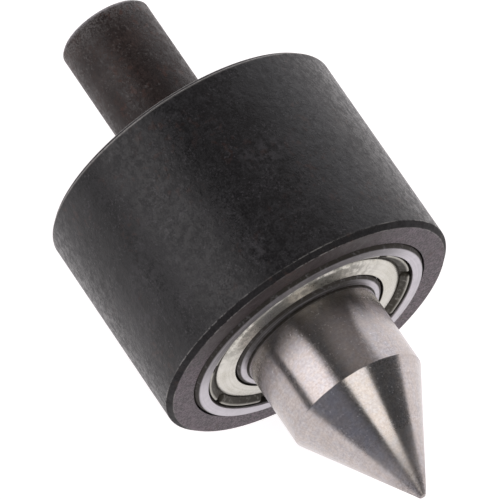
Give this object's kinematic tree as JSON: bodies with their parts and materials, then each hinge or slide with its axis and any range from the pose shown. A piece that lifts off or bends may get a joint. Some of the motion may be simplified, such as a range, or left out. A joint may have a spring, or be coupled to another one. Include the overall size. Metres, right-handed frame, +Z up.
{
  "type": "live center",
  "caption": "Straight-shank live center: a 60 degree ground point that spins in shielded ball bearings inside a plain black steel housing.",
  "frame": {"origin": "on the axis of rotation, in the plane of the housing's rear face, where the shank meets the housing", "axes": "+X along the axis of rotation towards the point, -X along the shank, +Z up"},
  "size_m": [0.0722, 0.039, 0.039],
  "materials": {
    "black_oxide_housing": "black oxide on turned steel, satin, fine mottling",
    "black_oxide_shank": "black oxide with a brown cast, satin, worn at the edges",
    "ground_steel": "hardened steel, ground round its axis, bright with fine rings",
    "turned_steel": "turned steel, lightly oiled",
    "spring_steel": "phosphated spring steel, dark grey",
    "bearing_steel": "ground bearing steel, satin",
    "ball_steel": "polished bearing balls",
    "cage_steel": "pressed steel strip, dull",
    "rivet_steel": "headed steel wire",
    "shield_steel": "pressed tinned steel sheet, creamy and soft in shine"
  },
  "bodies": {
    "housing": {"housing": "black_oxide_housing", "shank": "black_oxide_shank", "front_outer_ring": "bearing_steel", "front_outer_shield": "shield_steel", "front_inner_shield": "shield_steel", "rear_outer_ring": "bearing_steel", "rear_outer_shield": "shield_steel", "rear_inner_shield": "shield_steel"},
    "spindle": {"spindle": "ground_steel", "front_inner_ring": "bearing_steel", "inner_spacer": "turned_steel", "rear_inner_ring": "bearing_steel", "retaining_ring": "spring_steel"},
    "front_cage": {"front_balls": "ball_steel", "front_cage_outer": "cage_steel", "front_cage_inner": "cage_steel", "front_cage_rivets": "rivet_steel"},
    "rear_cage": {"rear_balls": "ball_steel", "rear_cage_outer": "cage_steel", "rear_cage_inner": "cage_steel", "rear_cage_rivets": "rivet_steel"}
  },
  "joints": [
    {"name": "spindle_spin", "type": "hinge", "parent": "housing", "child": "spindle", "pos_m": [0.02, 0, 0], "axis": [1, 0, 0], "continuous": true},
    {"name": "front_cage_spin", "type": "hinge", "parent": "housing", "child": "front_cage", "pos_m": [0.0229, 0, 0], "axis": [1, 0, 0], "continuous": true},
    {"name": "rear_cage_spin", "type": "hinge", "parent": "housing", "child": "rear_cage", "pos_m": [0.012, 0, 0], "axis": [1, 0, 0], "continuous": true}
  ],
  "couplings": [
    {"joint": "front_cage_spin", "follows": "spindle_spin", "ratio": 0.39872},
    {"joint": "rear_cage_spin", "follows": "spindle_spin", "ratio": 0.381}
  ]
}
